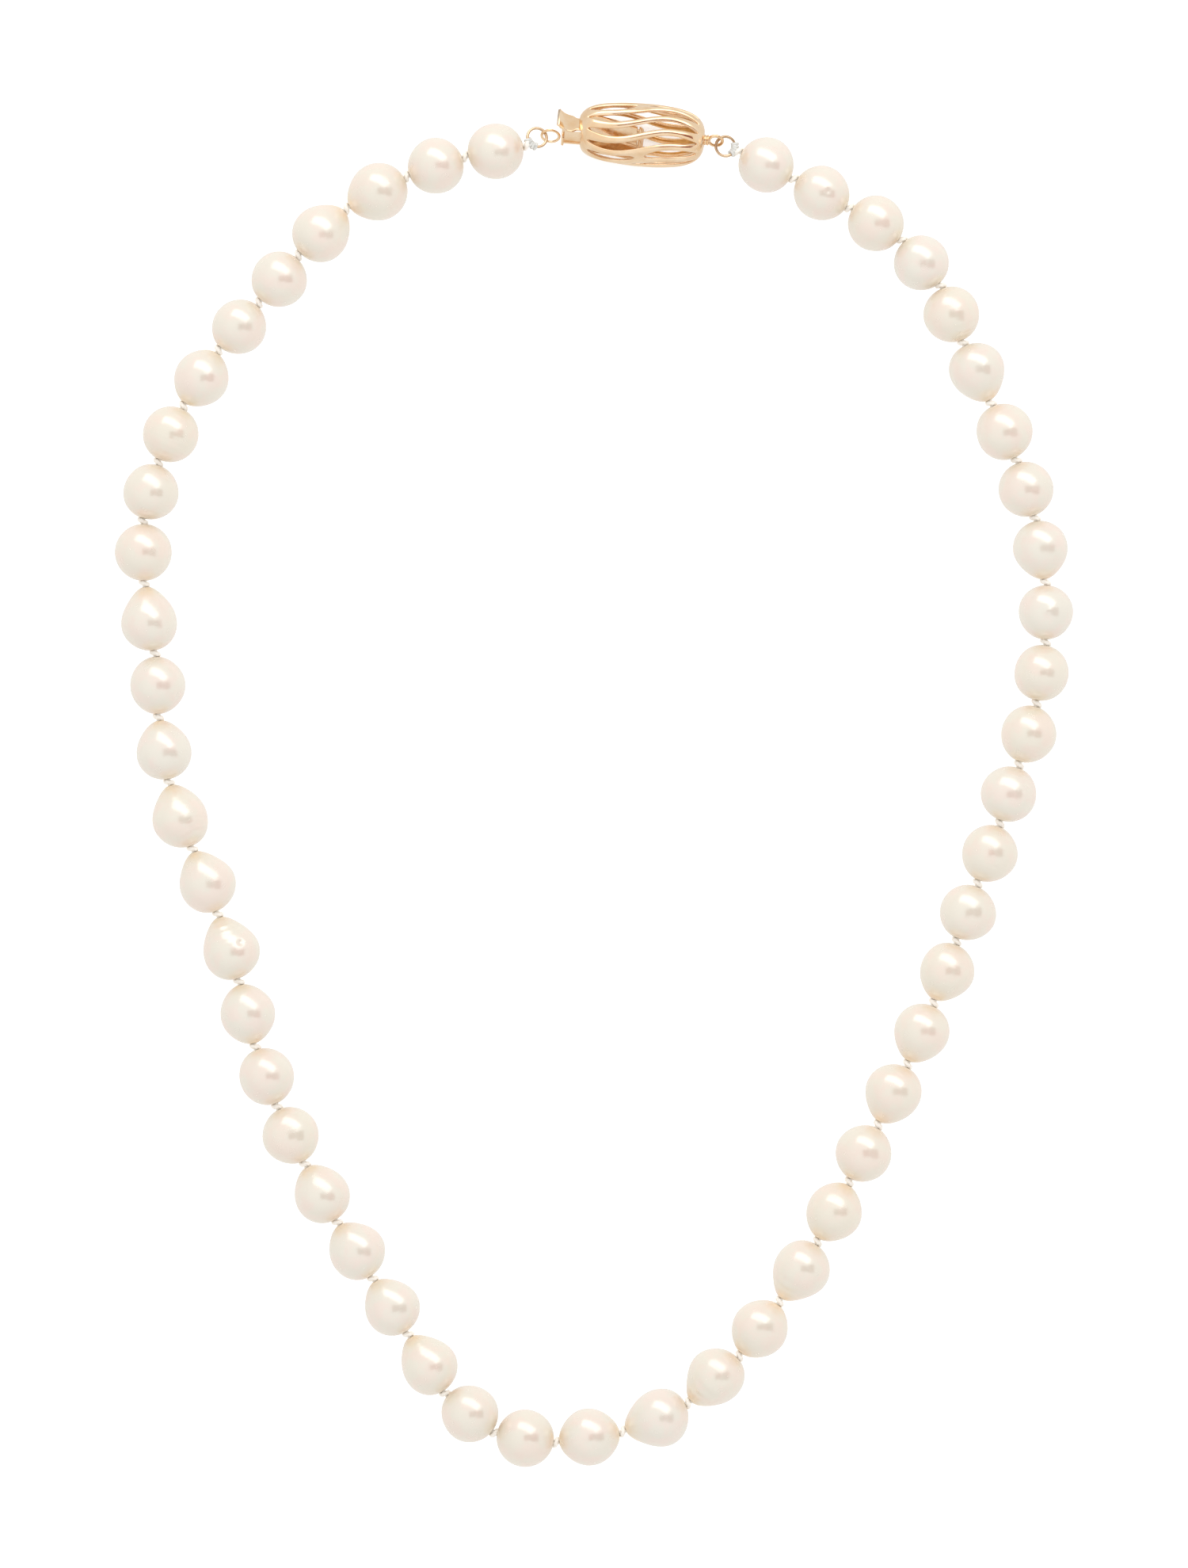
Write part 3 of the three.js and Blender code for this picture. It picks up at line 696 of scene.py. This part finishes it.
def build_knots():
    """The thread, a length to each knot: each runs from one pearl's middle to the next one's, and
    the two end lengths run to the bindings."""
    centres = [pearl_frame(n)[1] for n in range(1, PEARL_COUNT + 1)]
    for number in range(1, PEARL_COUNT):
        before, knot, after = centres[number - 1], knots[number], centres[number]
        path = knot_path(before, knot, after)
        name = f"silk_knot_{number:02d}"
        piece = tube_piece(
            name, None, silk, path, THREAD_RADIUS, THREAD_SIDES, PLY_COUNT
        )
        bend_at(piece)
    for name, number, place, body in (
        ("left", 1, 0, "left_link"), ("right", PEARL_COUNT, PEARL_COUNT, "right_link")
    ):
        outwards = unit(knots[place] - centres[number - 1])
        knot = knots[place] - outwards * END_KNOT_INSET
        path = knot_path(centres[number - 1], knot, knots[place])
        piece = tube_piece(
            f"silk_end_{name}", None, silk, path, THREAD_RADIUS, THREAD_SIDES, PLY_COUNT
        )
        bend_at(piece)
    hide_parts("silk_thread")


def bend_at(piece):
    """Bakes a piece's transform into its mesh."""
    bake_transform(piece)


def ring_frame(name):
    """From a ring's CAD node: its centre, and the direction that its plane faces."""
    points = node_points(name)
    centre = points.mean(0)
    return centre, np.linalg.svd(points - centre, full_matrices=False)[2][2]


def build_binding(name, body, place):
    """A thread wound round a jump ring's wire: its line goes round the wire as it goes along it."""
    centre, facing = ring_frame(f"jump_ring_{name}")
    outwards = unit(place - centre)
    sideways = np.cross(facing, outwards)
    radius, wire = JUMP_RING
    coil = wire + BINDING_THREAD_RADIUS * BINDING_NEST
    share = np.linspace(-0.5, 0.5, BINDING_TURNS * BINDING_STEPS)
    along = share * BINDING_LENGTH / radius
    turn = share * BINDING_TURNS * 2 * math.pi
    radial = np.cos(along)[:, None] * outwards + np.sin(along)[:, None] * sideways
    reach = radius + coil * np.cos(turn)
    path = centre + reach[:, None] * radial + (coil * np.sin(turn))[:, None] * facing
    piece = tube_piece(
        f"wound_silk_{name}", body, grey_silk, path, BINDING_THREAD_RADIUS, BINDING_SIDES,
        PLY_COUNT,
    )
    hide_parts(f"end_binding_{name}")


# ---- Rings ----

def ring_grid(centre, facing, first, size, squash=1.0, uneven=0.0):
    """A round wire bent into a ring; squash narrows the ring across its first direction, and
    uneven makes the wire a little thicker and thinner round it."""
    radius, wire = size
    second = np.cross(facing, first)
    around = np.linspace(0, 2 * math.pi, RING_STEPS, endpoint=False)[:, None]
    turn = np.linspace(0, 2 * math.pi, WIRE_SIDES, endpoint=False)[None, :]
    thick = wire * (1 + uneven * np.cos(2 * around + 0.7) + 0.5 * uneven * np.sin(5 * around))
    reach = radius + thick * np.cos(turn)
    x, y = reach * np.cos(around), reach * np.sin(around) * squash
    z = thick * np.sin(turn)
    return centre + x[..., None] * first + y[..., None] * second + z[..., None] * facing


def build_rings():
    """The two jump rings with their bindings, then the clasp's own rings, and the collar."""
    for name, body, place in (("left", "left_link", 0), ("right", "right_link", PEARL_COUNT)):
        centre, facing = ring_frame(f"jump_ring_{name}")
        outwards = unit(knots[place] - centre)
        grid = ring_grid(centre, facing, outwards, JUMP_RING, uneven=0.05)
        ring = grid_piece(f"gold_jump_ring_{name}", body, worn_gold, grid, closed=True)
        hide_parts(f"jump_ring_{name}")
        build_binding(name, body, knots[place])
    leaning = math.cos(RING_LEAN) * UP - math.sin(RING_LEAN) * clasp_y
    tongue_centre, _ = ring_frame("tongue_ring")
    grid = ring_grid(tongue_centre, leaning, clasp_x, TONGUE_RING, squash=0.94, uneven=0.06)
    ring = grid_piece("gold_tongue_ring", "tongue", gold, grid, closed=True)
    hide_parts("tongue_ring")
    ring_places = node_points("case_ring") @ clasp_x
    case_ring_x = ring_places.max() - CASE_RING[0] - CASE_RING[1]
    centre = case_centre + (case_ring_x - case_centre @ clasp_x) * clasp_x
    grid = ring_grid(centre, leaning, clasp_x, CASE_RING, uneven=0.05)
    ring = grid_piece("gold_case_ring", "case", gold, grid, closed=True)
    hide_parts("case_ring")
    build_collar(ring_places.min() - case_centre @ clasp_x)


def build_collar(start):
    """The collar that the case's ring is soldered in: a turned bead with a groove in its middle."""
    turn = np.linspace(0, 2 * math.pi, COLLAR_SIDES, endpoint=False)
    places = start + COLLAR_OUTLINE[:, 0]
    reach = COLLAR_OUTLINE[:, 1] * COLLAR_RADIUS
    ring = np.cos(turn)[:, None] * barrel_y + np.sin(turn)[:, None] * barrel_z
    grid = case_centre + places[:, None, None] * clasp_x + reach[:, None, None] * ring
    collar = grid_piece("gold_collar", "case", gold, grid)
    add_subdivision(collar, 1)


def add_subdivision(piece, levels):
    """Smooths a piece, by as many levels in a render as in view."""
    modifier = piece.modifiers.new("smooth", "SUBSURF")
    modifier.levels = levels
    modifier.render_levels = levels


# ---- Case ----

def slot_opening(share, bridged):
    """Half a slot's opening at each share of the case's half length: a leaf shape, pointed at both
    ends, or two of them where a bridge splits the slot."""
    stretches = [(SLOT_START, SLOT_END)]
    if bridged:
        stretches = [(SLOT_START, -BRIDGE_HALF), (BRIDGE_HALF, SLOT_END)]
    half = np.zeros_like(share)
    for start, end in stretches:
        place = ((2 * share - start - end) / (end - start)).clip(-1, 1)
        half += SLOT_WIDTH / 2 * (1 - np.abs(place) ** SLOT_POINT).clip(0, 1) ** SLOT_FULLNESS
    return half


def barrel_radius(share):
    """The barrel's radius: a superellipse in the share of its half length."""
    return CASE_DIAMETER / 2 * (1 - np.abs(share) ** CASE_POWER).clip(0, 1) ** (1 / CASE_POWER)


def build_case():
    """The openwork shell. Each rib is a strip of the barrel between two slots' wavy edges, crowned
    across. Past the slots' ends the strips meet and close the barrel, round the mouth at one end
    and to a point under the collar at the other."""
    shares = np.concatenate([
        np.linspace(SLOT_START, -BRIDGE_HALF, RIB_ROWS[0])[:-1],
        np.linspace(-BRIDGE_HALF, BRIDGE_HALF, RIB_ROWS[1])[:-1],
        np.linspace(BRIDGE_HALF, SLOT_END, RIB_ROWS[2]),
    ])
    narrowing = np.linspace(1, CLOSING_POINT, CLOSING_ROWS)[1:]
    closing = barrel_radius(SLOT_END) * 2 / CASE_DIAMETER * narrowing
    end_shares = (1 - closing**CASE_POWER) ** (1 / CASE_POWER)
    body_shares = np.concatenate([shares, end_shares])
    mouth_steps = np.linspace(1, 0, MOUTH_ROWS + 1)[:-1]
    across = np.linspace(-1, 1, RIB_COLUMNS)
    sector = 2 * math.pi / SLOT_COUNT
    grids = []
    for rib in range(SLOT_COUNT):
        openings = [
            slot_opening(body_shares, slot % SLOT_COUNT in BRIDGED_SLOTS) / (CASE_DIAMETER / 2)
            for slot in (rib, rib + 1)
        ]
        start = SLOT_FIRST + rib * sector
        wave = SLOT_WAVE * np.sin(math.pi * body_shares)
        low = start + wave + openings[0]
        high = start + sector + wave - openings[1]
        angles = low[:, None] + (high - low)[:, None] * (across + 1) / 2
        open_share = (openings[0] + openings[1])[:, None] / (SLOT_WIDTH / CASE_DIAMETER * 2)
        radius = barrel_radius(body_shares)[:, None] - RIB_CROWN * open_share * across**2
        x = body_shares[:, None] * SHELL_LENGTH / 2 + 0 * angles
        body = np.stack([x, radius * np.sin(angles), radius * np.cos(angles)], -1)
        grids.append(np.concatenate([mouth_rows(angles[0], body[0], mouth_steps), body]))
    shell = welded_grids("gold_case", grids)
    wall = shell.modifiers.new("wall", "SOLIDIFY")
    wall.thickness = CASE_WALL * MM
    wall.offset = -1
    # The inner faces take the second material, whose darker orange is painted shade.
    wall.material_offset = 1
    wall.material_offset_rim = 0
    add_subdivision(shell, 1)
    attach(shell, "case")
    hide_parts("clasp_case")


def mouth_rows(angles, ring, steps):
    """Rows from the mouth's edge, a rounded oblong, out to the first ring of the barrel. Each lies
    on the barrel's own end, whose place along the axis follows from its distance from it."""
    middle, half = (MOUTH_LOW + MOUTH_HIGH) / 2, (MOUTH_HIGH - MOUTH_LOW) / 2
    y = MOUTH_HALF_WIDTH * np.sign(np.sin(angles)) * np.abs(np.sin(angles)) ** MOUTH_CORNER
    z = middle + half * np.sign(np.cos(angles)) * np.abs(np.cos(angles)) ** MOUTH_CORNER
    edge = np.stack([y, z], -1)
    flat = ring[None, :, 1:] * (1 - steps[:, None, None]) + edge[None] * steps[:, None, None]
    away = np.linalg.norm(flat, axis=-1) / (CASE_DIAMETER / 2)
    x = -SHELL_LENGTH / 2 * (1 - away.clip(0, 1) ** CASE_POWER) ** (1 / CASE_POWER)
    return np.concatenate([x[..., None], flat], -1)


def welded_grids(name, grids):
    """Several open grids as one mesh, with the points that they share merged."""
    rows, columns = grids[0].shape[:2]
    points = from_barrel(np.concatenate([g.reshape(-1, 3) for g in grids]))
    faces = grid_faces(rows, columns, False, False)
    faces = np.concatenate([faces + i * rows * columns for i in range(len(grids))])
    mesh = bpy.data.meshes.new(name)
    mesh.from_pydata((points * MM).tolist(), [], faces.tolist())
    shape = bmesh.new()
    shape.from_mesh(mesh)
    bmesh.ops.remove_doubles(shape, verts=shape.verts, dist=WELD_DISTANCE * MM)
    middle = Vector(case_centre * MM)
    tilt = sum((f.calc_center_median() - middle).dot(f.normal) * f.calc_area() for f in shape.faces)
    if tilt < 0:
        bmesh.ops.reverse_faces(shape, faces=shape.faces)
    shape.to_mesh(mesh)
    shape.free()
    mesh.polygons.foreach_set("use_smooth", np.ones(len(mesh.polygons), bool))
    mesh.materials.append(gold)
    mesh.materials.append(inner_gold_painted_shade)
    shell = bpy.data.objects.new(name, mesh)
    bpy.context.scene.collection.objects.link(shell)
    return shell


# ---- Tongue and its spring leaf ----

def band_grid(line, widths, thickness, relief=0.0):
    """A bent band: a rounded oblong section, of its own width at each station, carried along a line
    in the barrel's side plane; relief raises or sinks its outer face."""
    along = unit(np.gradient(line, axis=0))
    normal = np.stack([-along[:, 1], along[:, 0]], -1)
    turn = np.linspace(0, 2 * math.pi, BAND_SIDES, endpoint=False)
    wide = np.sign(np.cos(turn)) * np.abs(np.cos(turn)) ** BAND_CORNER
    thick = np.sign(np.sin(turn)) * np.abs(np.sin(turn)) ** BAND_CORNER
    y = widths[:, None] / 2 * wide
    lift = thickness / 2 * thick + np.broadcast_to(relief, len(line))[:, None] * (thick > 0)
    x = line[:, 0, None] + lift * normal[:, 0, None]
    z = line[:, 1, None] + lift * normal[:, 1, None]
    return from_barrel(np.stack([x, y, z], -1))


def band_piece(name, body, material, line, widths, thickness, relief=0.0):
    """A gold piece made of one band."""
    return grid_piece(name, body, material, band_grid(line, widths, thickness, relief))


def stretch(start, end, count):
    """Evenly spaced places from start up to, but without, end."""
    return np.linspace(start, end, count, endpoint=False)


def eased(values, start, end):
    """0 before start, 1 after end, smooth between."""
    t = ((values - start) / (end - start)).clip(0, 1)
    return t * t * (3 - 2 * t)


def build_tongue():
    """The tongue's lower leaf, straight and then round the fold's arc, and its end plate."""
    fold_z = LOWER_LEAF_HEIGHT + FOLD_RADIUS
    bend = np.radians(np.linspace(-90, 88, FOLD_STEPS))
    straight = np.stack([
        stretch(END_PLATE_PLACE, FOLD_PLACE, LEAF_STEPS), np.full(LEAF_STEPS, LOWER_LEAF_HEIGHT)
    ], -1)
    fold = np.stack([
        FOLD_PLACE + FOLD_RADIUS * np.cos(bend), fold_z + FOLD_RADIUS * np.sin(bend)
    ], -1)
    line = np.concatenate([straight, fold])
    shoulder = -CASE_LENGTH / 2 + LOWER_SHOULDER_INSET
    grow = eased(line[:, 0], shoulder - 0.2, shoulder + 0.1)
    widths = NECK_WIDTH + (LEAF_WIDTH - NECK_WIDTH) * grow
    lower = band_piece("gold_lower_leaf", "tongue", gold, line, widths, LEAF_THICKNESS)
    height = np.linspace(-END_PLATE_HEIGHT / 2, END_PLATE_HEIGHT / 2, END_PLATE_STEPS)
    upright = np.stack([np.full(END_PLATE_STEPS, END_PLATE_PLACE), LOWER_LEAF_HEIGHT + height], -1)
    rounded = NECK_WIDTH * (1 - END_PLATE_ROUNDING * np.abs(height / height[-1]) ** 4)
    band_piece("gold_end_plate", "tongue", gold, upright, rounded, LEAF_THICKNESS)
    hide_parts("tongue_plate")


def build_spring():
    """The upper leaf: from the fold up to its shoulder, out through the mouth, and up into a thumb
    tab whose outer face has filed ribs."""
    start = (FOLD_PLACE - SPRING_GAP, LOWER_LEAF_HEIGHT + 2 * FOLD_RADIUS)
    shoulder = -CASE_LENGTH / 2 + UPPER_SHOULDER_INSET
    ramp_x = stretch(start[0], shoulder, RAMP_STEPS)
    ramp = (start[0] - ramp_x) / (start[0] - shoulder)
    ramp_z = start[1] + (SHOULDER_HEIGHT - start[1]) * np.sin(ramp * math.pi / 2) ** RAMP_POWER
    neck_x = stretch(shoulder, THUMB_PLACE, NECK_STEPS)
    share = np.linspace(0, 1, THUMB_STEPS)
    line = np.concatenate([
        np.stack([ramp_x, ramp_z], -1),
        np.stack([neck_x, np.full(NECK_STEPS, SHOULDER_HEIGHT)], -1),
        np.stack([THUMB_PLACE - THUMB_LENGTH * share, SHOULDER_HEIGHT + THUMB_RISE * share**3], -1),
    ])
    narrow = eased(-line[:, 0], -shoulder - 0.2, -shoulder + 0.3)
    widen = eased(-line[:, 0], -THUMB_PLACE - 0.1, -THUMB_PLACE + 0.7)
    widths = LEAF_WIDTH + (NECK_WIDTH - LEAF_WIDTH) * narrow + (THUMB_WIDTH - NECK_WIDTH) * widen
    filed = line[:, 0] < THUMB_PLACE - THUMB_LENGTH * FILED_START
    ribs = FILED_HEIGHT * np.abs(np.sin((line[:, 0] - THUMB_PLACE) * math.pi / FILED_PITCH)) * filed
    leaf = band_piece("gold_spring_leaf", "spring", gold, line, widths, LEAF_THICKNESS, ribs)
    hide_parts("spring_leaf")


# ---- Stage: floor, light and camera ----

def stage_card(name, size, place, towards, material, seen):
    """A flat card that faces a point."""
    half = np.array(size) / 2
    corners = np.array([[-1, -1, 0], [1, -1, 0], [1, 1, 0], [-1, 1, 0]]) * [half[0], half[1], 0]
    mesh = bpy.data.meshes.new(name)
    mesh.from_pydata(corners.tolist(), [], [[0, 1, 2, 3]])
    mesh.materials.append(material)
    card = bpy.data.objects.new(name, mesh)
    card.location = place
    direction = Vector(towards) - Vector(place)
    card.rotation_euler = direction.to_track_quat("-Z", "Y").to_euler()
    card.visible_camera = seen
    card.visible_shadow = seen
    card.visible_diffuse = seen
    bpy.context.scene.collection.objects.link(card)
    return card


def plain_material(name, colour, glow):
    """A dull material for the stage, with a white glow."""
    material = bpy.data.materials.new(name)
    material.use_nodes = True
    shader = material.node_tree.nodes["Principled BSDF"]
    shader.inputs["Base Color"].default_value = colour
    shader.inputs["Roughness"].default_value = 0.9
    shader.inputs["Specular IOR Level"].default_value = 0.0
    shader.inputs["Emission Color"].default_value = (1, 1, 1, 1)
    shader.inputs["Emission Strength"].default_value = glow
    return material


def softbox(name, place, size, power, tint, spin):
    """An oblong light that faces the origin, turned by spin about its own direction."""
    light = bpy.data.lights.new(name, "AREA")
    light.shape = "RECTANGLE"
    light.size, light.size_y = size
    light.energy = power
    light.color = tint
    lamp = bpy.data.objects.new(name, light)
    lamp.location = place
    lamp.rotation_euler = (-Vector(place)).to_track_quat("-Z", "Y").to_euler()
    lamp.rotation_euler.rotate_axis("Z", spin)
    bpy.context.scene.collection.objects.link(lamp)


def tent_world():
    """The white tent round the table: brighter near the horizon than overhead."""
    world = bpy.data.worlds.new("tent")
    world.use_nodes = True
    tree = world.node_tree
    upwards = add_node(tree, "TexCoord").outputs["Generated"]
    direction = add_node(tree, "SeparateXYZ", {"Vector": upwards})
    strength = smooth_range(tree, direction.outputs["Z"], 0.1, 0.9, HORIZON_LIGHT, OVERHEAD_LIGHT)
    background = tree.nodes["Background"]
    background.inputs["Color"].default_value = (1.0, 0.995, 0.99, 1)
    tree.links.new(strength, background.inputs["Strength"])
    return world


def build_stage():
    """The white floor and tent, the dark gaps that the pearls mirror, one light and the camera."""
    floor = plain_material("white_floor", (0.92, 0.92, 0.92, 1), 0.42)
    # The floor glows past white, so it is kept out of the reflections.
    stage_card("floor", (4.0, 4.0), (0, 0, 0), (0, 0, -1), floor, True).visible_glossy = False
    dark = plain_material("studio_gap", (0.24, 0.1, 0.08, 1), 0.0)
    stage_card("camera_side_gap", (0.6, 0.6), (0.74, 0.0, 0.85), (0, 0, 0), dark, False)
    stage_card("camera_gap", (0.44, 0.54), (0.18, 0.02, 1.0), (0, 0, 0), dark, False)
    bpy.context.scene.world = tent_world()
    softbox("key", (0.07, 0.72, 0.62), (1.35, 0.55), 3.2, (1.0, 0.99, 0.97), math.radians(-25))
    bpy.context.scene.view_settings.view_transform = "Standard"
    lens = bpy.data.cameras.new("camera")
    lens.sensor_fit = "VERTICAL"
    lens.sensor_height = SENSOR_HEIGHT
    lens.lens = SENSOR_HEIGHT * (CAMERA_HEIGHT - strand_height * MM) / VIEW_HEIGHT
    lens.clip_start = 0.01
    camera = bpy.data.objects.new("camera", lens)
    middle = (cad_box[0] + cad_box[1]) / 2
    camera.location = (middle.x, middle.y, CAMERA_HEIGHT)
    bpy.context.scene.collection.objects.link(camera)
    bpy.context.scene.camera = camera


build_stage()
build_pearls()
build_knots()
build_rings()
build_case()
build_tongue()
build_spring()
